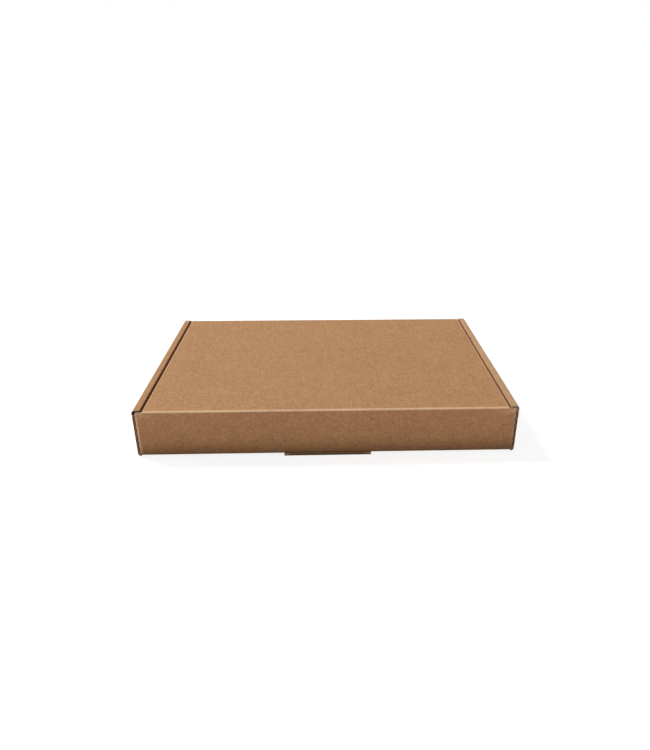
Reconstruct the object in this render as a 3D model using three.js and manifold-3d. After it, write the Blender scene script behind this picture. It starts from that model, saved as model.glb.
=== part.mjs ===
// A letterbox mailer box, die-cut and folded from one sheet of brown corrugated board.
// Millimetres, +Z up. The front is towards -Y, and the origin is under the middle of the closed box.
// The sheet folds into a tray with rolled double sides, a lid that hangs on the rear wall, and a front
// flap that hangs on the lid. The lid lies between the rolled sides, and the flap lies outside the
// front wall.

import * as THREE from "three";
import * as BufferGeometryUtils from "three/addons/utils/BufferGeometryUtils.js";
import Module from "manifold-3d";

// Board: two liners with a waved medium between them
const boardThickness = 1.4;
const linerThickness = 0.22;
const mediumThickness = 0.18;
const flutePitch = 3.3;
const fluteFootShare = 0.42;
const fluteFlankShare = 0.25;

// Folds: round outside, sharp inside, with the flutes crushed shut beside them
const foldRadius = 1.2;
const creaseRelief = 0.3;
const creaseGapAngle = THREE.MathUtils.degToRad(1.5);
const arcSteps = 3;

// Outside of the tray
const boxWidth = 170;
const sideLength = 115;
const boxHeight = 22.8;

// Clearances between the layers of the folded sheet
const layerGap = 0.1;
const lidSideGap = 0.45;
const lidSeatGap = 0.3;
const flapGap = 0.2;
const panelEndGap = 0.3;
const panelFootGap = 0.2;

// Dust ears that the front and rear walls turn into the rolled sides
const earLength = 44;
const earTaper = 3;

// Lock tabs of the inner side panels, and their slots in the base
const sideTabWidth = 20;
const sideTabSpacing = 58;
const sideTabTaper = 1.5;
const sideTabLift = 0.2;
const sideSlotClearance = 0.25;

// Front flap
const flapWidth = 166.2;
const flapFootHeight = 1.9;
const flapCornerDrop = 0.6;

// Lip of the base, the slot that it leaves in the front wall, and the flap's lock tab in that slot
const lipWidth = 39;
const lipFluteRun = 100;
const lockTabWidth = 32.5;
const lockTabDepth = 5;
const lockTabTaper = 2;
const lockSlotClearance = 0.4;
const lockTabRootGap = 0.02;

// Kraft board
const kraftColour = new THREE.Color(0.46, 0.245, 0.115);
const kraftRoughness = 0.9;

// How far a cutting or joining shape reaches past the face that it meets
const reach = 1;

// Step that places are rounded to, so that faces drawn in one plane stay in one plane
const placeStep = 1 / 4096;

// Places worked out from the sizes
const halfWidth = boxWidth / 2;
const halfDepth = (sideLength + flapGap + boardThickness) / 2;
const rearY = halfDepth;
const frontY = rearY - sideLength;
const flapOuterY = -halfDepth;
const flapInnerY = flapOuterY + boardThickness;
const bandWidth = 3 * boardThickness + 2 * layerGap;
const innerPanelX = halfWidth - bandWidth;
const earOuterX = halfWidth - boardThickness - layerGap;
const lidHalf = innerPanelX - lidSideGap;
const flapHalf = flapWidth / 2;
const lidUnderZ = boxHeight - boardThickness;
const wallTopZ = lidUnderZ - lidSeatGap;
const flapCornerTopZ = boxHeight - flapCornerDrop;
const lockTabTopZ = flapFootHeight + boardThickness;
const lockSlotTopZ = lockTabTopZ + lockSlotClearance;
const fluteHalfHeight = boardThickness / 2 - linerThickness;

const wasm = await Module();
wasm.setup();

// A closed three.js geometry as a solid
function solidOf(geometry) {
  const bare = geometry.clone();
  bare.deleteAttribute("normal");
  bare.deleteAttribute("uv");
  const positions = bare.attributes.position;
  positions.array = positions.array.map((value) => Math.round(value / placeStep) * placeStep);
  const merged = BufferGeometryUtils.mergeVertices(bare, placeStep / 2);
  const mesh = new wasm.Mesh({
    numProp: 3,
    vertProperties: merged.attributes.position.array,
    triVerts: new Uint32Array(merged.index.array),
  });
  return new wasm.Manifold(mesh);
}

// A solid as a three.js geometry
function geometryOf(solid) {
  const mesh = solid.getMesh();
  const geometry = new THREE.BufferGeometry();
  const positions = new Float32Array(mesh.vertProperties);
  geometry.setAttribute("position", new THREE.BufferAttribute(positions, 3));
  geometry.setIndex(new THREE.BufferAttribute(new Uint32Array(mesh.triVerts), 1));
  geometry.computeVertexNormals();
  return geometry;
}

function joined(solids) {
  return solids.reduce((whole, piece) => whole.add(piece));
}

// Where an outline's own x, y and depth go: an outline drawn in (x, z) runs along Y, and so on
const ALONG_X = new THREE.Matrix4().makeBasis(
  new THREE.Vector3(0, 1, 0),
  new THREE.Vector3(0, 0, 1),
  new THREE.Vector3(1, 0, 0),
);
const ALONG_Y = new THREE.Matrix4().makeBasis(
  new THREE.Vector3(1, 0, 0),
  new THREE.Vector3(0, 0, 1),
  new THREE.Vector3(0, -1, 0),
);

function extruded(shape, depth) {
  return new THREE.ExtrudeGeometry(shape, {
    depth,
    bevelEnabled: false,
    curveSegments: arcSteps,
  });
}

function alongX(shape, low, high) {
  return extruded(shape, high - low).applyMatrix4(ALONG_X).translate(low, 0, 0);
}

function alongY(shape, low, high) {
  return extruded(shape, high - low).applyMatrix4(ALONG_Y).translate(0, high, 0);
}

function alongZ(shape, low, high) {
  return extruded(shape, high - low).translate(0, 0, low);
}

function outline(points) {
  return new THREE.Shape(points.map(([a, b]) => new THREE.Vector2(a, b)));
}

function rectangle(lowA, highA, lowB, highB) {
  return outline([
    [lowA, lowB],
    [highA, lowB],
    [highA, highB],
    [lowA, highB],
  ]);
}

// A strip of straight-sided board: its base edge from low to high, narrowing by taper at the far edge
function taperedTab(low, high, root, tip, taper) {
  return outline([
    [low, root],
    [high, root],
    [high - taper, tip],
    [low + taper, tip],
  ]);
}

// Hollow under one crest of the medium, in (along the board, through the board). up is 1 for a crest
// and -1 for a trough.
function fluteHollow(centre, up) {
  const foot = flutePitch * fluteFootShare;
  const flank = flutePitch * fluteFlankShare;
  const floor = -fluteHalfHeight * up;
  const shoulder = (-mediumThickness / 2) * up;
  const crown = (fluteHalfHeight - mediumThickness) * up;
  return [
    [centre - foot, floor],
    [centre + foot, floor],
    [centre + flank, shoulder],
    [centre, crown],
    [centre - flank, shoulder],
  ];
}

// All the hollows of as many whole flutes as fit between two places along the board
function fluteHollows(low, high) {
  const count = Math.floor((high - low) / flutePitch);
  const start = (low + high - count * flutePitch) / 2;
  const hollows = [];
  for (let i = 0; i < count; i += 1) {
    hollows.push(fluteHollow(start + (i + 0.5) * flutePitch, 1));
    if (i < count - 1) hollows.push(fluteHollow(start + (i + 1) * flutePitch, -1));
  }
  return hollows;
}

// Cutting solid for a set of hollows. place turns (along, through) into the outline's own plane, and
// sweep runs that outline along the flutes.
function fluteCutter(hollows, place, sweep) {
  const pieces = hollows.map((points) => {
    const geometry = sweep(outline(points.map(place)));
    geometry.deleteAttribute("normal");
    geometry.deleteAttribute("uv");
    return geometry;
  });
  return solidOf(BufferGeometryUtils.mergeGeometries(pieces));
}

// Outer side panel and top band of one rolled side, with its two round folds, drawn in (x, z)
function rolledSideSection(side) {
  const x = (value) => side * value;
  const r = foldRadius;
  const foldX = halfWidth - r;
  const innerFoldX = innerPanelX + r;
  const shape = new THREE.Shape();
  shape.moveTo(x(foldX - reach), 0);
  shape.lineTo(x(foldX), 0);
  shape.absarc(x(foldX), r, r, -Math.PI / 2, side > 0 ? 0 : -Math.PI, side < 0);
  shape.lineTo(x(halfWidth), boxHeight - r);
  shape.absarc(x(foldX), boxHeight - r, r, side > 0 ? 0 : Math.PI, Math.PI / 2, side < 0);
  shape.lineTo(x(innerFoldX), boxHeight);
  shape.absarc(x(innerFoldX), boxHeight - r, r, Math.PI / 2, side > 0 ? Math.PI : 0, side < 0);
  shape.lineTo(x(innerPanelX), lidUnderZ);
  shape.lineTo(x(halfWidth - boardThickness), lidUnderZ);
  shape.lineTo(x(halfWidth - boardThickness), boardThickness);
  shape.lineTo(x(foldX - reach), boardThickness);
  return shape;
}

// Flute hollows of one rolled side's outer panel and top band, open at the front and rear ends
function rolledSideFlutes(side) {
  const panelMid = halfWidth - boardThickness / 2;
  const bandMid = boxHeight - boardThickness / 2;
  const sweep = (shape) => alongY(shape, frontY - reach, rearY + reach);
  const panel = fluteCutter(
    fluteHollows(foldRadius, boxHeight - foldRadius),
    ([along, through]) => [side * (panelMid + through), along],
    sweep,
  );
  const band = fluteCutter(
    [fluteHollow(halfWidth - bandWidth / 2, 1)],
    ([along, through]) => [side * along, bandMid + through],
    sweep,
  );
  return panel.add(band);
}

const sideTabCentres = [-sideTabSpacing / 2, sideTabSpacing / 2].map(
  (offset) => (frontY + rearY) / 2 + offset,
);

// Slots in the base for the lock tabs of one inner side panel
function sideSlots(side) {
  const c = sideSlotClearance;
  const edges = [side * (innerPanelX - c), side * (innerPanelX + boardThickness + c)];
  const low = Math.min(...edges);
  const high = Math.max(...edges);
  return joined(
    sideTabCentres.map((y) => {
      const half = sideTabWidth / 2 + c;
      const shape = rectangle(low, high, y - half, y + half);
      return solidOf(alongZ(shape, -reach, boardThickness + reach));
    }),
  );
}

// Inner side panel with its lock tabs, hanging from the top band, drawn in (y, z)
function innerSidePanel(side) {
  const front = frontY + boardThickness + panelEndGap;
  const rear = rearY - boardThickness - panelEndGap;
  const foot = boardThickness + panelFootGap;
  const top = lidUnderZ + (boardThickness - foldRadius) / 2;
  const low = Math.min(side * innerPanelX, side * (innerPanelX + boardThickness));
  const high = low + boardThickness;
  const sheet = solidOf(alongX(rectangle(front, rear, foot, top), low, high));
  const tabs = sideTabCentres.map((y) => {
    const half = sideTabWidth / 2;
    const shape = taperedTab(y - half, y + half, foot + reach, sideTabLift, sideTabTaper);
    return solidOf(alongX(shape, low, high));
  });
  const flutes = fluteCutter(
    fluteHollows(foot, lidUnderZ),
    ([along, through]) => [side * (innerPanelX + boardThickness / 2 + through), along],
    (shape) => alongY(shape, front - reach, rear + reach),
  );
  return joined([sheet, ...tabs]).subtract(flutes);
}

// One end wall in plan, with its two vertical folds, drawn in (x, y). face is where its outer face
// lies, and inward is 1 for the front wall and -1 for the rear wall.
function endWallPlan(face, inward, length) {
  const r = foldRadius;
  const back = face + inward * length;
  const inner = face + inward * boardThickness;
  const turnY = face + inward * r;
  const ahead = -inward * (Math.PI / 2);
  const shape = new THREE.Shape();
  shape.moveTo(-earOuterX, back);
  shape.lineTo(-earOuterX, turnY);
  shape.absarc(-earOuterX + r, turnY, r, Math.PI, inward > 0 ? ahead + 2 * Math.PI : ahead, inward < 0);
  shape.lineTo(earOuterX - r, face);
  shape.absarc(earOuterX - r, turnY, r, ahead, 0, inward < 0);
  shape.lineTo(earOuterX, back);
  if (length > boardThickness) {
    shape.lineTo(earOuterX - boardThickness, back);
    shape.lineTo(earOuterX - boardThickness, inner);
    shape.lineTo(-earOuterX + boardThickness, inner);
    shape.lineTo(-earOuterX + boardThickness, back);
  }
  return shape;
}

// Outline of the dust ears seen from the side, in (y, z), which cuts their free corners
function earCornerCutter(face, inward) {
  const back = face + inward * earLength;
  const foot = boardThickness + panelFootGap;
  const corners = [
    [
      [back, foot - reach],
      [back - inward * earTaper, foot - reach],
      [back - inward * earTaper, foot],
      [back, foot + earTaper],
      [back + inward * reach, foot + earTaper],
      [back + inward * reach, foot - reach],
    ],
    [
      [back, wallTopZ + reach],
      [back - inward * earTaper, wallTopZ + reach],
      [back - inward * earTaper, wallTopZ],
      [back, wallTopZ - earTaper],
      [back + inward * reach, wallTopZ - earTaper],
      [back + inward * reach, wallTopZ + reach],
    ],
  ];
  const earX = earOuterX - boardThickness - layerGap / 2;
  const cut = corners.flatMap((points) => [
    solidOf(alongX(outline(points), earX, earOuterX + layerGap / 2)),
    solidOf(alongX(outline(points), -earOuterX - layerGap / 2, -earX)),
  ]);
  return joined(cut);
}

// Front or rear wall with its ears, up to the level under the lid
function endWall(face, inward) {
  const foot = boardThickness + panelFootGap;
  const wall = solidOf(alongZ(endWallPlan(face, inward, boardThickness), 0, wallTopZ));
  const ears = solidOf(alongZ(endWallPlan(face, inward, earLength), foot, wallTopZ));
  return wall.add(ears.subtract(earCornerCutter(face, inward)));
}

// What the round fold between the base and an end wall takes off the square corner, drawn in (y, z)
function baseFoldCutter(face, inward) {
  const r = foldRadius;
  const shape = new THREE.Shape();
  shape.moveTo(face - inward * reach, -reach);
  shape.lineTo(face + inward * r, -reach);
  shape.lineTo(face + inward * r, 0);
  const from = -Math.PI / 2;
  const to = inward > 0 ? -Math.PI : 0;
  shape.absarc(face + inward * r, r, r, from, to, inward > 0);
  shape.lineTo(face - inward * reach, r);
  return solidOf(alongX(shape, -earOuterX, earOuterX));
}

// Rear wall's middle stretch, which rises between the rolled sides to the lid's crease: half of the
// round fold, cut back along the fold's middle plane, drawn in (y, z)
function lidCreaseStep() {
  const r = foldRadius;
  const shape = new THREE.Shape();
  shape.moveTo(rearY, wallTopZ - reach);
  shape.lineTo(rearY, boxHeight - r);
  shape.absarc(rearY - r, boxHeight - r, r, 0, Math.PI / 4, false);
  shape.lineTo(rearY - boardThickness, lidUnderZ);
  shape.lineTo(rearY - boardThickness, wallTopZ - reach);
  return solidOf(alongX(shape, -lidHalf, lidHalf));
}

// Flute hollows of the front wall, open at its top edge and shut at the base's crease
function frontWallFlutes() {
  const middle = frontY + boardThickness / 2;
  return fluteCutter(
    fluteHollows(-earOuterX + foldRadius, earOuterX - foldRadius),
    ([along, through]) => [along, middle + through],
    (shape) => alongZ(shape, boardThickness + foldRadius, wallTopZ + reach),
  );
}

// Lip that stays in the base's plane where the front wall is cut free, with its flutes open in front
function lockLip() {
  const half = lipWidth / 2;
  return solidOf(alongZ(rectangle(-half, half, flapOuterY, frontY + boardThickness), 0, boardThickness));
}

function lockSlot() {
  const half = lipWidth / 2;
  const shape = rectangle(frontY - reach, frontY + boardThickness + reach, boardThickness, lockSlotTopZ);
  return solidOf(alongX(shape, -half, half));
}

function lipFlutes() {
  return fluteCutter(
    fluteHollows(-lipWidth / 2, lipWidth / 2),
    ([along, through]) => [along, boardThickness / 2 + through],
    (shape) => alongY(shape, flapOuterY - reach, flapOuterY + lipFluteRun),
  );
}

// The whole tray: base, rolled sides, end walls with ears, and the lip
function trayGeometry() {
  const foldX = halfWidth - foldRadius;
  const base = solidOf(alongY(rectangle(-foldX, foldX, 0, boardThickness), frontY, rearY));
  const sides = [-1, 1].map((side) =>
    solidOf(alongY(rolledSideSection(side), frontY, rearY)).subtract(rolledSideFlutes(side)),
  );
  const shell = joined([base, ...sides, endWall(frontY, 1), endWall(rearY, -1), lidCreaseStep()]);
  const tray = shell
    .subtract(baseFoldCutter(frontY, 1))
    .subtract(baseFoldCutter(rearY, -1))
    .subtract(frontWallFlutes())
    .subtract(lockSlot())
    .add(lockLip())
    .subtract(lipFlutes())
    .subtract(sideSlots(-1))
    .subtract(sideSlots(1));
  return geometryOf(joined([tray, innerSidePanel(-1), innerSidePanel(1)]));
}

// Lid panel with half of each of its two creases, drawn in (y, z)
function lidGeometry() {
  const r = foldRadius;
  const eighth = Math.PI / 4;
  const gap = creaseGapAngle;
  const shape = new THREE.Shape();
  shape.moveTo(flapInnerY + creaseRelief, lidUnderZ);
  shape.lineTo(rearY - boardThickness - creaseRelief, lidUnderZ);
  shape.absarc(rearY - r, boxHeight - r, r, eighth + gap, 2 * eighth, false);
  shape.lineTo(flapOuterY + r, boxHeight);
  shape.absarc(flapOuterY + r, boxHeight - r, r, 2 * eighth, 3 * eighth - gap, false);
  return alongX(shape, -lidHalf, lidHalf);
}

// Front flap: its sheet, half of the crease to the lid, and the corners that pass the lid's sides
function flapGeometry() {
  const r = foldRadius;
  const rootZ = boxHeight - r;
  const sheet = rectangle(flapOuterY, flapInnerY, flapFootHeight, rootZ - reach);
  const corner = rectangle(flapOuterY, flapInnerY, rootZ - 2 * reach, flapCornerTopZ);
  const crease = new THREE.Shape();
  crease.moveTo(flapOuterY, rootZ - 2 * reach);
  crease.lineTo(flapInnerY, rootZ - 2 * reach);
  crease.lineTo(flapInnerY, lidUnderZ);
  crease.absarc(flapOuterY + r, rootZ, r, 3 * (Math.PI / 4), Math.PI, false);
  const cornerMid = (lidHalf + flapHalf) / 2;
  const place = ([along, through]) => [along, (flapOuterY + flapInnerY) / 2 + through];
  const flutes = fluteCutter(fluteHollows(-lidHalf, lidHalf), place, (shape) =>
    alongZ(shape, flapFootHeight - reach, rootZ - reach),
  );
  const cornerFlutes = fluteCutter([fluteHollow(-cornerMid, 1), fluteHollow(cornerMid, 1)], place, (shape) =>
    alongZ(shape, flapFootHeight - reach, flapCornerTopZ + reach),
  );
  const flap = joined([
    solidOf(alongX(sheet, -flapHalf, flapHalf)),
    solidOf(alongX(crease, -lidHalf, lidHalf)),
    solidOf(alongX(corner, -flapHalf, -lidHalf)),
    solidOf(alongX(corner, lidHalf, flapHalf)),
  ]);
  return geometryOf(flap.subtract(flutes).subtract(cornerFlutes));
}

// Lock tab: folded in from the flap's lower edge, over the lip and through the slot, drawn in (x, y)
function lockTabGeometry() {
  const half = lockTabWidth / 2;
  const root = flapInnerY + lockTabRootGap;
  const tip = flapOuterY + lockTabDepth;
  return alongZ(taperedTab(-half, half, root, tip, lockTabTaper), flapFootHeight, lockTabTopZ);
}

function boardMesh(name, geometry) {
  const material = new THREE.MeshStandardMaterial({
    color: kraftColour,
    roughness: kraftRoughness,
    metalness: 0,
  });
  const mesh = new THREE.Mesh(geometry, material);
  mesh.name = name;
  return mesh;
}

// The front flap with its lock tab hangs on the lid, and the lid hangs on the tray
const box = new THREE.Group();
const lidGroup = new THREE.Group();
const flapGroup = new THREE.Group();
flapGroup.add(boardMesh("front_flap", flapGeometry()));
flapGroup.add(boardMesh("lock_tab", lockTabGeometry()));
lidGroup.add(boardMesh("lid", lidGeometry()));
lidGroup.add(flapGroup);
box.add(boardMesh("tray", trayGeometry()));
box.add(lidGroup);

export default box;
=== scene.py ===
# %% [markdown]
# A letterbox mailer box is one sheet of brown corrugated board, cut, creased and folded. Its shape is
# loaded as a fixed frame, so this lesson is about the looks: the kraft paper, the cut edges with their
# open flutes, and the two creases that let the lid and the front flap move.
# The box as loaded is measured first.

# %% Load the folded box
import math
import bpy
from mathutils import Matrix, Vector


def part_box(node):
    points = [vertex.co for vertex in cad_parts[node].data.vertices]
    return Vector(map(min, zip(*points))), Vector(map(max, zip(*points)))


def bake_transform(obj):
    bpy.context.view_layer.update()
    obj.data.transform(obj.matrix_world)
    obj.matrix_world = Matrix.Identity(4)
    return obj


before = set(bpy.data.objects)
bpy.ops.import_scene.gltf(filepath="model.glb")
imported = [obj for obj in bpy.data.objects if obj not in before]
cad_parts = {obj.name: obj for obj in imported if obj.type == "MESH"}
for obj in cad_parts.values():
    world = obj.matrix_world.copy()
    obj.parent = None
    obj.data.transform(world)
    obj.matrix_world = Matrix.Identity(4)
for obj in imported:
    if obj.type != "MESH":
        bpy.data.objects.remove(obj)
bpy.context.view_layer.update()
MM = 0.001


# %% [markdown]
# Every later step reads its places from the loaded pieces, so hardly a size is repeated by hand. The
# board's own sizes can't be read from a box, so they are named once: the sheet's thickness, the distance
# between two flutes, the outer radius of a fold, and the two small gaps that folded board needs. A rolled
# side is three sheets thick, and the cut tops of the walls lie one sheet and a gap below the top.

# %% Places on the box
BOARD = 1.4 * MM
FLUTE_PITCH = 3.3 * MM
FOLD_RADIUS = 1.2 * MM
SHEET_GAP = 0.2 * MM
LID_GAP = 0.3 * MM
_, tray_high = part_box("tray")
lid_low, lid_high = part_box("lid")
flap_low, flap_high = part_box("front_flap")
TOP = tray_high.z
REAR = tray_high.y
FRONT = flap_low.y
WALL_FRONT = FRONT + BOARD + SHEET_GAP
BAND_INNER = tray_high.x - 3 * BOARD - SHEET_GAP
PANEL_INNER = tray_high.x - BOARD
WALL_TOP = TOP - BOARD - LID_GAP
print("lid is", round((lid_high.x - lid_low.x) / MM, 1), "mm wide")


# %% [markdown]
# The camera is a real one in a real place: about 29 cm in front of the box and 15 cm up, looking down by
# 25 degrees and turned a little to one side. Its place comes from the corners and edges of the box in the
# picture. The picture is shifted by some 20 pixels, as when a photograph is cropped, and a lens with a
# shift does the same without turning the camera.

# %% Camera
PICTURE_HEIGHT = 750
PICTURE_WIDTH = 650
FOCAL_PIXELS = 610.9
CENTRE_PIXEL = (345, 380)
CAMERA_PLACE = Vector((-1.24, -292.76, 148.69)) * MM
YAW, PITCH, ROLL = (math.radians(angle) for angle in (-2.15, 25.39, 0.29))
SENSOR = 36
NEAREST_SEEN = 10 * MM


def add_camera():
    lens = bpy.data.cameras.new("camera")
    lens.sensor_width = SENSOR
    lens.lens = FOCAL_PIXELS / PICTURE_HEIGHT * SENSOR
    lens.shift_x = (PICTURE_WIDTH / 2 - CENTRE_PIXEL[0]) / PICTURE_HEIGHT
    lens.shift_y = (CENTRE_PIXEL[1] - PICTURE_HEIGHT / 2) / PICTURE_HEIGHT
    lens.clip_start = NEAREST_SEEN
    level = Vector((-math.sin(YAW), math.cos(YAW), 0))
    right = Vector((math.cos(YAW), math.sin(YAW), 0))
    ahead = level * math.cos(PITCH) - Vector((0, 0, math.sin(PITCH)))
    up = right.cross(ahead)
    turned_right = right * math.cos(ROLL) + up * math.sin(ROLL)
    turned_up = up * math.cos(ROLL) - right * math.sin(ROLL)
    axes = Matrix((turned_right, turned_up, -ahead)).transposed().to_4x4()
    camera = bpy.data.objects.new("camera", lens)
    bpy.context.scene.collection.objects.link(camera)
    camera.matrix_world = Matrix.Translation(CAMERA_PLACE) @ axes
    bpy.context.scene.camera = camera
    return camera


camera = add_camera()
print("camera lens:", round(camera.data.lens, 1), "mm")


# %% [markdown]
# A material is a graph of nodes, and long graphs are hard to read as code. The small class below wraps
# one output of a node, so that a sum of masks is written as a sum. Colours go through a Mix node, which
# keeps all three channels, while plain numbers go through Math nodes.

# %% Shader maths written as expressions
class Signal:
    """One output socket, with the operators that add Math nodes."""

    def __init__(self, tree, socket):
        self.tree = tree
        self.socket = socket

    def math(self, operation, *others):
        node = self.tree.nodes.new("ShaderNodeMath")
        node.operation = operation
        for slot, value in zip(node.inputs, (self, *others)):
            feed(self.tree, slot, value)
        return Signal(self.tree, node.outputs[0])

    def __add__(self, other):
        return self.math("ADD", other)

    def __mul__(self, other):
        return self.math("MULTIPLY", other)

    def __sub__(self, other):
        return self.math("SUBTRACT", other)

    def __rsub__(self, other):
        return (self * -1) + other

    def __truediv__(self, other):
        return self.math("DIVIDE", other)

    __radd__ = __add__
    __rmul__ = __mul__

    def above(self, level):
        return self.math("GREATER_THAN", level)

    def below(self, level):
        return self.math("LESS_THAN", level)

    def size(self):
        return self.math("ABSOLUTE")

    def limited(self):
        return self.math("MINIMUM", 1.0).math("MAXIMUM", 0.0)

    def most(self, other):
        return self.math("MAXIMUM", other)


def feed(tree, slot, value):
    """Links a signal to a socket, or writes a plain value on it."""
    if isinstance(value, Signal):
        tree.links.new(value.socket, slot)
    else:
        slot.default_value = value


print("shader maths ready")


# %% [markdown]
# Every other node comes from one method of the class Finish: it takes the node's type, its settings and
# what goes into its sockets, and hands back one output as a signal. The Mix node has a set of sockets
# for each kind of data, and those for colours have the numbers 6 and 7 going in and 2 coming out.

# %% Materials and their nodes
class Finish:
    """A new material, whose nodes are added by one method."""

    def __init__(self, name):
        self.material = bpy.data.materials.new(name)
        self.material.use_nodes = True
        self.tree = self.material.node_tree
        self.shader = self.tree.nodes["Principled BSDF"]

    def node(self, kind, settings=None, sockets=None, output=0):
        made = self.tree.nodes.new("ShaderNode" + kind)
        for key, value in (settings or {}).items():
            setattr(made, key, value)
        for key, value in (sockets or {}).items():
            feed(self.tree, made.inputs[key], value)
        return Signal(self.tree, made.outputs[output])

    def mix(self, share, first, second):
        """A colour between two others."""
        sockets = {0: share, 6: first, 7: second}
        return self.node("Mix", {"data_type": "RGBA"}, sockets, 2)

    def noise(self, place, scale, detail, roughness=0.55):
        sockets = {"Vector": place, "Scale": scale, "Detail": detail, "Roughness": roughness}
        return self.node("TexNoise", None, sockets, "Fac")

    def three(self, vector):
        """The x, y and z of a vector, as three signals."""
        return [self.node("SeparateXYZ", None, {0: vector}, axis) for axis in range(3)]

    def set(self, socket, value):
        feed(self.tree, self.shader.inputs[socket], value)


def colour(red, green, blue):
    return (red, green, blue, 1.0)


print("materials start from the Principled shader")


# %% [markdown]
# Kraft liner is unbleached paper. From a step away it is one warm brown, but close up it is never flat:
# broad clouds from the pulp, blotches, a fine mottle and grain, and fibres laid mostly one way. Each mark
# is a noise texture of its own size. Fibres come from noise that a Mapping node stretches along one axis
# and turns a little. All of it reads Object coordinates, so it stays put when a flap moves.

# %% Marks in the paper
EVEN_MARKS = {
    # marks per metre, detail
    "cloud": (60.0, 2.0),
    "grain": (1700.0, 2.0),
    "tint": (380.0, 2.0),
}
STRETCHED_MARKS = {
    # marks per metre along x, y and z; turn about Z in radians; detail; roughness
    "blotch": ((330, 150, 300), 0.0, 3.0, 0.6),
    "mottle": ((1100, 560, 1000), 0.0, 3.0, 0.65),
    "laid": ((1500, 450, 500), 0.0, 2.0, 0.55),
    "crossed": ((420, 1500, 1300), 0.9, 2.0, 0.55),
    "flecks": ((520, 900, 900), 0.4, 1.0, 0.55),
}


def paper_marks(finish, place):
    """Every noise that the paper is made of, by its name."""
    marks = {name: finish.noise(place, *row) for name, row in EVEN_MARKS.items()}
    for name, (scale, turn, detail, roughness) in STRETCHED_MARKS.items():
        sockets = {"Vector": place, "Rotation": (0, 0, turn), "Scale": scale}
        stretched = finish.node("Mapping", {"vector_type": "POINT"}, sockets)
        marks[name] = finish.noise(stretched, 1.0, detail, roughness)
    return marks


print("the paper has", len(EVEN_MARKS) + len(STRETCHED_MARKS), "kinds of mark")


# %% [markdown]
# The colour of the paper runs between a dark and a light brown by the weighted sum of the marks. A noise
# lies around a half, so a half is taken off before it is weighted. Yellower places, pale fibres and dark
# flecks of bark come in only where their own noise is high, so they are laid over the brown one by one.

# %% Colour of the paper
KRAFT_LIGHT = colour(0.600, 0.322, 0.146)
KRAFT_DARK = colour(0.315, 0.163, 0.075)
KRAFT_YELLOW = colour(0.455, 0.243, 0.090)
PALE_FIBRE = colour(0.680, 0.470, 0.290)
BARK_FLECK = colour(0.150, 0.082, 0.045)
MIDDLE = 0.5
TONE_WEIGHTS = {"cloud": 0.25, "blotch": 0.5, "mottle": 1.25, "grain": 1.0, "laid": 0.5, "crossed": 0.3}
OVERLAYS = (
    # mark, where it starts, how fast it comes in, its strength, its colour
    ("tint", 0.5, 4.0, 0.35, KRAFT_YELLOW),
    ("crossed", 0.64, 9.0, 0.30, PALE_FIBRE),
    ("flecks", 0.735, 24.0, 0.6, BARK_FLECK),
)


def rising(value, start, rate):
    """0 up to the start, then rising at the rate to 1."""
    return ((value - start) * rate).limited()


def paper_colour(finish, marks):
    tone = MIDDLE
    for name, weight in TONE_WEIGHTS.items():
        tone = tone + (marks[name] - MIDDLE) * weight
    paper = finish.mix(tone.limited(), KRAFT_DARK, KRAFT_LIGHT)
    for name, start, rate, strength, tint in OVERLAYS:
        paper = finish.mix(rising(marks[name], start, rate) * strength, paper, tint)
    return paper


print("overlays:", ", ".join(row[0] for row in OVERLAYS))


# %% [markdown]
# The flutes under the liner show as faint ribs, because the thin paper sinks a little between them. They
# run the short way of the box, so the wave goes along X, and along Y on the sides that look left or right.
# Ribs and marks together give the height that a Bump node turns into light and shade.

# %% Relief of the paper
RIB_HEIGHT = 0.007
RELIEF = {"grain": 0.020, "laid": 0.014, "mottle": 0.018}
SIDEWAYS = 0.6


def paper_relief(marks, axes, facing):
    """Height in millimetres."""
    on_side = facing[0].size().above(SIDEWAYS)
    along = axes[0] * (1 - on_side) + axes[1] * on_side
    height = (along * (2 * math.pi / FLUTE_PITCH)).math("SINE") * RIB_HEIGHT
    for name, rise in RELIEF.items():
        height = height + marks[name] * rise
    return height


print("ribs every", round(FLUTE_PITCH / MM, 1), "mm")


# %% [markdown]
# One function makes the finish of every piece, so they all look cut from the same sheet. What differs is
# given as masks, small functions of place and direction that say where the paper is pale, partly rubbed
# and partly a painted highlight, where it is cut, and where a painted shade darkens it in grooves and
# hollows. A cut edge isn't smooth paper: the knife leaves short torn fibres, greyer than the liner, which
# get a noise and a relief of their own.

# %% Kraft board
# Pale stretched or rubbed paper, and also a painted highlight along the creases, the edges and the right
# band.
PALE_AND_HIGHLIGHT = colour(0.850, 0.565, 0.345)
# A painted shade, for the grooves beside the lid and the foot of the flap.
PAINTED_SHADE = colour(0.085, 0.024, 0.005)
CUT_EDGE = colour(0.660, 0.515, 0.390)
CUT_EDGE_DARK = colour(0.310, 0.200, 0.125)
# A painted shade for the open ends under the bands.
HOLLOW_SHADOW = colour(0.030, 0.016, 0.010)
TORN_FIBRES = (2300.0, 3.0, 0.7)
TORN_CONTRAST = (0.29, 2.6)
TORN_HEIGHT = 0.08
BLOOM_LEAST = 0.1
BLOOM_CLOUDS = 0.8
PAPER_ROUGHNESS = 0.86
ROUGHNESS_SPREAD = 0.12
PAPER_GLOSS = 0.25


def cut_colour(finish, torn):
    return finish.mix(rising(torn, *TORN_CONTRAST), CUT_EDGE_DARK, CUT_EDGE)


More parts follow.
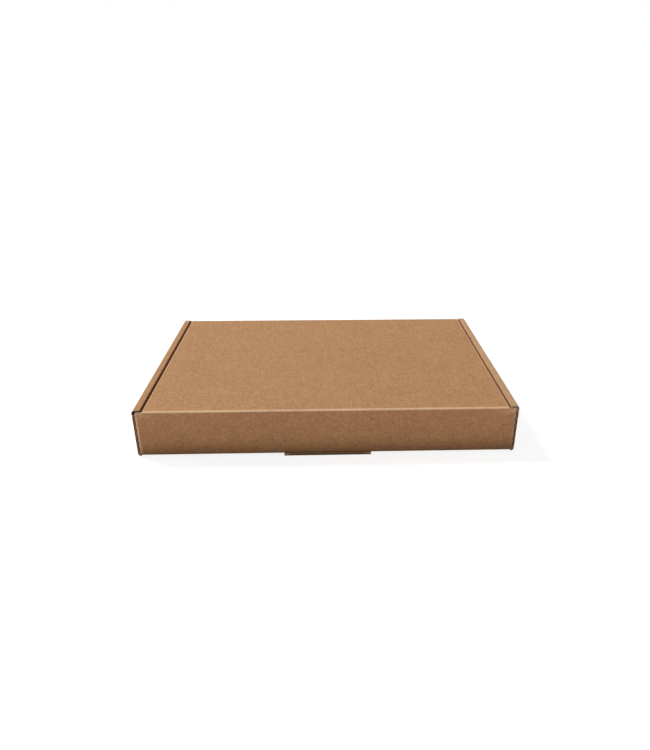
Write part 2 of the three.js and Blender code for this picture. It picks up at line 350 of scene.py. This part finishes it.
def kraft(name, edge_mask=None, pale_and_highlight_mask=None, painted_shade_mask=None, hollow_shadow_mask=None):
    """Kraft liner, pale (rubbed paper and painted highlight), cut, and darkened by painted shade where the
    masks say.
    """
    finish = Finish(name)
    place = finish.node("TexCoord", None, None, "Object")
    axes = finish.three(place)
    facing = finish.three(finish.node("TexCoord", None, None, "Normal"))
    marks = paper_marks(finish, place)
    paper = paper_colour(finish, marks)
    height = paper_relief(marks, axes, facing)
    if pale_and_highlight_mask:
        uneven = BLOOM_LEAST + marks["mottle"] + marks["cloud"] * BLOOM_CLOUDS
        paper = finish.mix((pale_and_highlight_mask(axes, facing) * uneven).limited(), paper, PALE_AND_HIGHLIGHT)
    if painted_shade_mask:
        paper = finish.mix(painted_shade_mask(axes, facing), paper, PAINTED_SHADE)
    if edge_mask:
        edge = edge_mask(axes, facing)
        torn = finish.noise(place, *TORN_FIBRES)
        paper = finish.mix(edge, paper, cut_colour(finish, torn))
        height = height + edge * torn * TORN_HEIGHT
    if hollow_shadow_mask:
        paper = finish.mix(hollow_shadow_mask(axes, facing), paper, HOLLOW_SHADOW)
    finish.set("Base Color", paper)
    finish.set("Roughness", PAPER_ROUGHNESS + (marks["grain"] - MIDDLE) * ROUGHNESS_SPREAD)
    finish.set("Normal", finish.node("Bump", None, {"Strength": 1.0, "Distance": MM, "Height": height}))
    finish.set("Specular IOR Level", PAPER_GLOSS)
    return finish.material


print("kraft board can be cut, rubbed, shaded and hollow")


# %% [markdown]
# The cut edges are found by where they are and which way they face, which needs no painting. On the tray
# they are the ends of the rolled sides, the tops of the walls and the front of the lip. On the flap they
# are its sides and whatever looks up or down. Each kind has a strength, because a knife leaves some edges
# cleaner than others. Near the ground the ends get less of the cut colour, a painted shade, and they are
# browner on the left than on the right.

# %% Where the board is cut
STEEP = 0.8
SLACK = 0.05 * MM
LOW_END = 2.4 * MM
LOW_END_STRENGTH = 0.3
LEFT_END_LOSS = 0.4
LIP_STRENGTH = 0.3
FLAP_FOOT_STRENGTH = 0.8
FLAP_SIDE_STRENGTH = 0.6
LID_SIDE_STRENGTH = 0.35
TAB_STRENGTH = 0.5


def near(value, target):
    return (value - target).size().below(SLACK)


def tray_edges(axes, facing):
    across = axes[0].size()
    lengthways = facing[1].size().above(STEEP)
    in_panel = across.above(PANEL_INNER - SLACK)
    in_band = across.above(BAND_INNER - SLACK) * axes[2].above(WALL_TOP + SLACK)
    # A painted shade: near the ground the ends get less of the cut colour.
    low = LOW_END_STRENGTH + axes[2].above(LOW_END) * (1 - LOW_END_STRENGTH)
    left = 1 - axes[0].below(0.0) * LEFT_END_LOSS
    ends = lengthways * in_panel.most(in_band) * low * left
    wall_tops = facing[2].above(STEEP) * near(axes[2], WALL_TOP)
    lip_front = lengthways * axes[2].below(BOARD + SLACK) * axes[1].below(WALL_FRONT)
    return ends.most(wall_tops).most(lip_front * LIP_STRENGTH)


def flap_edges(axes, facing):
    foot = facing[2].size().above(STEEP) * FLAP_FOOT_STRENGTH
    sides = facing[0].size().above(STEEP) * FLAP_SIDE_STRENGTH
    return foot.most(sides)


def lid_edges(axes, facing):
    return facing[0].size().above(STEEP) * LID_SIDE_STRENGTH


def tab_edges(axes, facing):
    sides = facing[0].size().above(STEEP)
    return sides.most(facing[1].size().above(STEEP)) * TAB_STRENGTH


print("cut faces are within", SLACK / MM, "mm of their place")


# %% [markdown]
# Little light reaches two kinds of place: the open ends under the rolled bands, and the grooves between
# the bands and the lid. Both get a painted shade. The grooves are darkened on the inner rounds of the
# bands, by how far a round has turned towards the lid: each side has a turn at which its shade starts, and
# a rate at which it comes in. The foot of the flap takes the same dark tone, a painted shade that stands
# in for the shadow near the table, darker towards the bottom.

# %% Where shade is painted
HOLLOW_DEPTH = 0.3 * MM
RIGHT_HOLLOW_LOSS = 0.5
GROOVE_LEFT = (0.02, 1 / 0.30)
GROOVE_RIGHT = (0.30, 1 / 0.30)
GROOVE_RIGHT_STRENGTH = 0.85
# How high the painted shade at the foot of the flap reaches, how it curves, and how dark it gets.
FOOT_SHADOW_HEIGHT = 7 * MM
FOOT_SHADOW_CURVE = 1.4
FOOT_SHADOW_STRENGTH = 0.42


def fading(distance, width):
    """1 at an edge, falling to 0 at the width."""
    return (1 - distance / width).limited()


# A painted shade in the open ends under the bands, weaker on the right.
def tray_hollow_shadow(axes, facing):
    in_end = facing[1].size().above(STEEP) * axes[2].above(WALL_TOP - HOLLOW_DEPTH)
    right = 1 - axes[0].above(0.0) * RIGHT_HOLLOW_LOSS
    return in_end * axes[0].size().above(BAND_INNER - SLACK) * right


# A painted shade on the inner rounds of the bands beside the lid, wider on the left.
def band_groove_shade(axes, facing):
    inward = axes[0] * facing[0] * (-1 / BAND_INNER)
    left = rising(inward, *GROOVE_LEFT) * axes[0].below(0.0)
    right = rising(inward, *GROOVE_RIGHT) * axes[0].above(0.0) * GROOVE_RIGHT_STRENGTH
    return left.most(right) * axes[2].above(TOP - FOLD_RADIUS - SLACK)


# A painted shade at the foot of the flap, darker towards the bottom.
def flap_foot_shade(axes, facing):
    return fading(axes[2] - flap_low.z, FOOT_SHADOW_HEIGHT).math("POWER", FOOT_SHADOW_CURVE) * FOOT_SHADOW_STRENGTH


print("the flap is painted_dark up to", FOOT_SHADOW_HEIGHT / MM, "mm from its foot")


# %% [markdown]
# Brown paper turns pale where it is stretched or rubbed, because its fibres stand up and scatter light.
# Along the front crease and at its two ends, and along the sides of the lid and of the flap, the pale
# colour is partly that and partly a painted highlight, strongest on the left side of the flap. On the band
# at the right it is only a painted highlight, strongest where the band faces up. Each pale strip is a
# width and a strength, and fades away from its edge.

# %% Where the paper is pale
FRONT_PALE = (1.8 * MM, 1.2)
LID_SIDE_PALE = (0.7 * MM, 0.45)
FLAP_TOP_PALE = (1.4 * MM, 0.2)
FLAP_LEFT_PALE = (1.0 * MM, 1.4)
FLAP_LEFT_MOST = 0.8
FLAP_RIGHT_PALE = (0.6 * MM, 0.3)
CORNER_WIDTH = 9 * MM
CORNER_PALE = (3.6 * MM, 0.6)
BAND_HIGHLIGHT = 0.22


def pale_strip(distance, row):
    width, strength = row
    return fading(distance, width) * strength


# A painted highlight on the band at the right, strongest where it faces up.
def band_highlight(axes, facing):
    on_band = axes[0].above(BAND_INNER) * axes[2].above(TOP - FOLD_RADIUS)
    return on_band * facing[2].limited() * BAND_HIGHLIGHT


# Pale rubbed paper and a painted highlight along the front crease and the sides of the lid.
def lid_pale_and_highlight(axes, facing):
    front = pale_strip(axes[1] - FRONT, FRONT_PALE)
    return front.most(pale_strip(lid_high.x - axes[0].size(), LID_SIDE_PALE))


# Pale rubbed paper and a painted highlight along the top, the corners and the sides of the flap, strongest
# on the left.
def flap_pale_and_highlight(axes, facing):
    below_top = TOP - axes[2]
    left = pale_strip(axes[0] - flap_low.x, FLAP_LEFT_PALE).limited() * FLAP_LEFT_MOST
    right = pale_strip(flap_high.x - axes[0], FLAP_RIGHT_PALE)
    corner = fading(flap_high.x - axes[0].size(), CORNER_WIDTH) * pale_strip(below_top, CORNER_PALE)
    return pale_strip(below_top, FLAP_TOP_PALE).most(left).most(right).most(corner)


print("the front crease is pale for", round(FRONT_PALE[0] / MM, 1), "mm")


# %% [markdown]
# Now the four loaded pieces get their finish. Their meshes aren't touched: only the material in the slot
# of each piece is changed.

# %% Finish of the loaded pieces
FINISHES = {
    "tray": kraft("kraft_tray", tray_edges, band_highlight, band_groove_shade, tray_hollow_shadow),
    "lid": kraft("kraft_lid", lid_edges, lid_pale_and_highlight),
    "front_flap": kraft("kraft_front_flap", flap_edges, flap_pale_and_highlight, flap_foot_shade),
    "lock_tab": kraft("kraft_lock_tab", tab_edges),
}
for node_name, material in FINISHES.items():
    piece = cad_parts[node_name]
    piece.data.materials.clear()
    piece.data.materials.append(material)
print("finishes:", ", ".join(FINISHES))


# %% [markdown]
# The outer liner runs over each crease without a break. On the real box that strip of paper is the hinge.
# It could be painted, but then a line of light would open at the crease when the lid moves. So it is made
# as a thin strip of paper over the round of the fold. A ring is added round the fold's centre, and all but
# the quarter that bulges outwards is deleted. Operators work on whatever is selected, so the points are
# first selected by their place.

# %% A quarter of a ring
STRIP_RADIUS = FOLD_RADIUS + 0.015 * MM
STRIP_END_ANGLE = math.radians(10)
RING_POINTS = 144


def select_vertices(mesh, wanted):
    """Selects by place. All is deselected first, or a selected edge would bring its vertices along."""
    bpy.ops.mesh.select_all(action="DESELECT")
    bpy.ops.object.mode_set(mode="OBJECT")
    for vertex in mesh.vertices:
        vertex.select = wanted(vertex.co)
    bpy.ops.object.mode_set(mode="EDIT")


def quarter_ring(name, centre, outward, low_x):
    """outward is where it bulges, as (y, z) signs from the centre. The strip is left in edit mode."""
    bpy.ops.object.select_all(action="DESELECT")
    place = (low_x, centre[0], centre[1])
    bpy.ops.mesh.primitive_circle_add(
        vertices=RING_POINTS, radius=STRIP_RADIUS, location=place, rotation=(0, math.pi / 2, 0)
    )
    strip = bpy.context.object
    strip.name = name
    bpy.ops.object.transform_apply(location=True, rotation=True, scale=True)
    margin = STRIP_RADIUS * math.sin(STRIP_END_ANGLE)

    def outside(point):
        reach_y = (point.y - centre[0]) * outward[0]
        reach_z = (point.z - centre[1]) * outward[1]
        return reach_y < margin or reach_z < margin

    bpy.ops.object.mode_set(mode="EDIT")
    bpy.ops.mesh.select_mode(type="VERT")
    select_vertices(strip.data, outside)
    bpy.ops.mesh.delete(type="VERT")
    return strip


print("a strip bends over", 90 - 2 * round(math.degrees(STRIP_END_ANGLE)), "degrees")


# %% [markdown]
# The quarter is extruded along the crease in short steps. Small random moves then make its shine uneven,
# as on a crease made by a blunt rule. They have a seed, so they come out the same each time. Solidify
# gives the strip its thickness towards the fold, so its faces must look outwards before that.

# %% Strip along a crease
STRIP_STEP = 1.0 * MM
STRIP_THICKNESS = 0.12 * MM
CRUMPLE = 0.012 * MM
FRONT_SEED = 3
REAR_SEED = 8
SMOOTH_BELOW = math.radians(40)


def pull_along(length):
    bpy.ops.mesh.select_all(action="SELECT")
    steps = round(length / STRIP_STEP)
    for _ in range(steps):
        bpy.ops.mesh.extrude_region_move(TRANSFORM_OT_translate={"value": (length / steps, 0, 0)})


def crumple(seed):
    bpy.ops.mesh.select_all(action="SELECT")
    bpy.ops.transform.vertex_random(offset=CRUMPLE, seed=seed)
    bpy.ops.mesh.normals_make_consistent(inside=False)
    bpy.ops.object.mode_set(mode="OBJECT")


def thicken(strip, centre):
    face = strip.data.polygons[0]
    away = Vector((0, face.center.y - centre[0], face.center.z - centre[1]))
    if away.dot(face.normal) < 0:
        strip.data.flip_normals()
    solidify = strip.modifiers.new("thickness", "SOLIDIFY")
    solidify.thickness = STRIP_THICKNESS
    solidify.offset = -1
    bpy.ops.object.modifier_apply(modifier=solidify.name)
    bpy.ops.object.shade_smooth_by_angle(angle=SMOOTH_BELOW)


def crease_strip(name, centre, outward, seed, material):
    """A quarter of a thin tube along X, as long as the lid is wide."""
    strip = quarter_ring(name, centre, outward, lid_low.x)
    pull_along(lid_high.x - lid_low.x)
    crumple(seed)
    thicken(strip, centre)
    strip.data.materials.append(material)
    print(name, "has", len(strip.data.polygons), "faces")
    return strip


# %% [markdown]
# The front strip joins the lid to the flap, and the rear strip joins the rear wall to the lid. Each one
# is a quarter of a thin tube over the round of its fold. The front one is palest on the upper half of its
# round, where the paper is stretched most and faces up, and the rear one in the middle. Both are partly
# stretched paper and partly a painted highlight.

# %% Liner over the two creases
PALE_FROM = 0.35
PALE_RATE = 1.9
REAR_PALE = 0.5
fold_z = TOP - FOLD_RADIUS
front_fold = (FRONT + FOLD_RADIUS, fold_z)
rear_fold = (REAR - FOLD_RADIUS, fold_z)


# Stretched paper and a painted highlight, palest where the round faces up.
def front_crease_pale_and_highlight(axes, facing):
    return rising(facing[2], PALE_FROM, PALE_RATE)


# Stretched paper and a painted highlight, palest in the middle of the round.
def rear_crease_pale_and_highlight(axes, facing):
    return (facing[1].size() * facing[2].size()).limited() * REAR_PALE


front_paper = kraft("kraft_front_crease", None, front_crease_pale_and_highlight)
rear_paper = kraft("kraft_rear_crease", None, rear_crease_pale_and_highlight)
flap_crease = crease_strip("flap_crease_liner", front_fold, (-1, 1), FRONT_SEED, front_paper)
lid_crease = crease_strip("lid_crease_liner", rear_fold, (1, 1), REAR_SEED, rear_paper)
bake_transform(flap_crease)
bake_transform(lid_crease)


# %% [markdown]
# The box stands on a plain white table. The table is a real surface, so it carries the box's soft shadow
# and throws light back onto the front wall. Seen by the camera it is lifted to white with a little glow
# that only camera, mirror and glass rays see, which leaves the light on the box as it is. The glow is
# weaker near the box, so the shadow stays. For the light that comes back to the box, the table is painted
# dark close to the walls: a painted shadow, as under any box that stands on something.

# %% Table and backdrop
TABLE_SIZE = 6.0
TABLE_BOUNCE = colour(0.96, 0.86, 0.87)
TABLE_CONTACT_SHADOW = colour(0.03, 0.02, 0.02)
CONTACT_REACH = 17 * MM
TABLE_SEEN = colour(0.35, 0.35, 0.35)
NO_GLOW = colour(0, 0, 0)
GLOW_NEAR = colour(0.82, 0.82, 0.82)
GLOW_FAR = colour(1, 1, 1)
GLOW_REACH = 0.35
TABLE_ROUGHNESS = 0.9
SEEN_RAYS = ("Is Camera Ray", "Is Glossy Ray", "Is Transmission Ray")


def table_finish():
    finish = Finish("white_table")
    camera_ray, mirror_ray, glass_ray = (finish.node("LightPath", None, None, ray) for ray in SEEN_RAYS)
    seen = camera_ray.most(mirror_ray).most(glass_ray)
    place = finish.node("TexCoord", None, None, "Object")
    away = finish.node("VectorMath", {"operation": "LENGTH"}, {0: place}, "Value")
    glow = finish.mix((away / GLOW_REACH).limited(), GLOW_NEAR, GLOW_FAR)
    across, along, _ = finish.three(place)
    beside = (across.size() - tray_high.x).most(along.size() - REAR)
    # A painted shadow: for the light that comes back to the box, the table is dark close to the walls.
    bounce = finish.mix((beside / CONTACT_REACH).limited(), TABLE_CONTACT_SHADOW, TABLE_BOUNCE)
    finish.set("Base Color", finish.mix(seen, bounce, TABLE_SEEN))
    finish.set("Roughness", TABLE_ROUGHNESS)
    finish.set("Emission Color", finish.mix(seen, NO_GLOW, glow))
    finish.set("Emission Strength", 1.0)
    finish.set("Specular IOR Level", 0.0)
    return finish.material


def add_table():
    bpy.ops.object.select_all(action="DESELECT")
    bpy.ops.mesh.primitive_plane_add(size=TABLE_SIZE, location=(0, 0, 0))
    table = bpy.context.object
    table.name = "table"
    table.data.materials.append(table_finish())


add_table()
print("table is", TABLE_SIZE, "m across")


# %% [markdown]
# The light is a plain studio set. The key lamp hangs to the left, above and behind the box. So the lid is
# the brightest surface, and the box throws a short shadow forwards. A weak lamp in front keeps the flap
# from going dull. The power of both is set so that a surface that faces up shows about its written colour.

# %% Lamps
LAMPS = {
    # place in metres, width in metres, power in watts
    "key_lamp": ((-1.68, 1.05, 2.24), 0.70, 86.2),
    "front_lamp": ((0.25, -1.60, 0.30), 0.50, 4.3),
}
LAMP_AIM = Vector((0, 0, 0.01))


def add_lamp(name, place, size, power):
    lamp = bpy.data.lights.new(name, "AREA")
    lamp.shape = "SQUARE"
    lamp.size = size
    lamp.energy = power
    holder = bpy.data.objects.new(name, lamp)
    bpy.context.scene.collection.objects.link(holder)
    holder.location = place
    aim = LAMP_AIM - Vector(place)
    holder.rotation_euler = aim.to_track_quat("-Z", "Y").to_euler()


for lamp_name, (place, size, power) in LAMPS.items():
    add_lamp(lamp_name, place, size, power)
print("lamps:", ", ".join(LAMPS))


# %% [markdown]
# White surroundings fill the shadows. They light the box weakly, but seen by the camera, or in a mirror or
# through glass, they are plain white. The view transform is Standard, which shows a colour as it is
# written.

# %% White surroundings
SURROUND_LIGHT = 0.17


def add_surroundings():
    world = bpy.data.worlds.new("white_room")
    bpy.context.scene.world = world
    world.use_nodes = True
    tree = world.node_tree
    background = tree.nodes["Background"]
    light_path = tree.nodes.new("ShaderNodeLightPath")
    camera_ray, mirror_ray, glass_ray = (Signal(tree, light_path.outputs[ray]) for ray in SEEN_RAYS)
    seen = camera_ray.most(mirror_ray).most(glass_ray)
    background.inputs["Color"].default_value = colour(1, 1, 1)
    feed(tree, background.inputs["Strength"], seen * (1 - SURROUND_LIGHT) + SURROUND_LIGHT)


add_surroundings()
bpy.context.scene.view_settings.view_transform = "Standard"
print("surroundings light the box at", SURROUND_LIGHT)
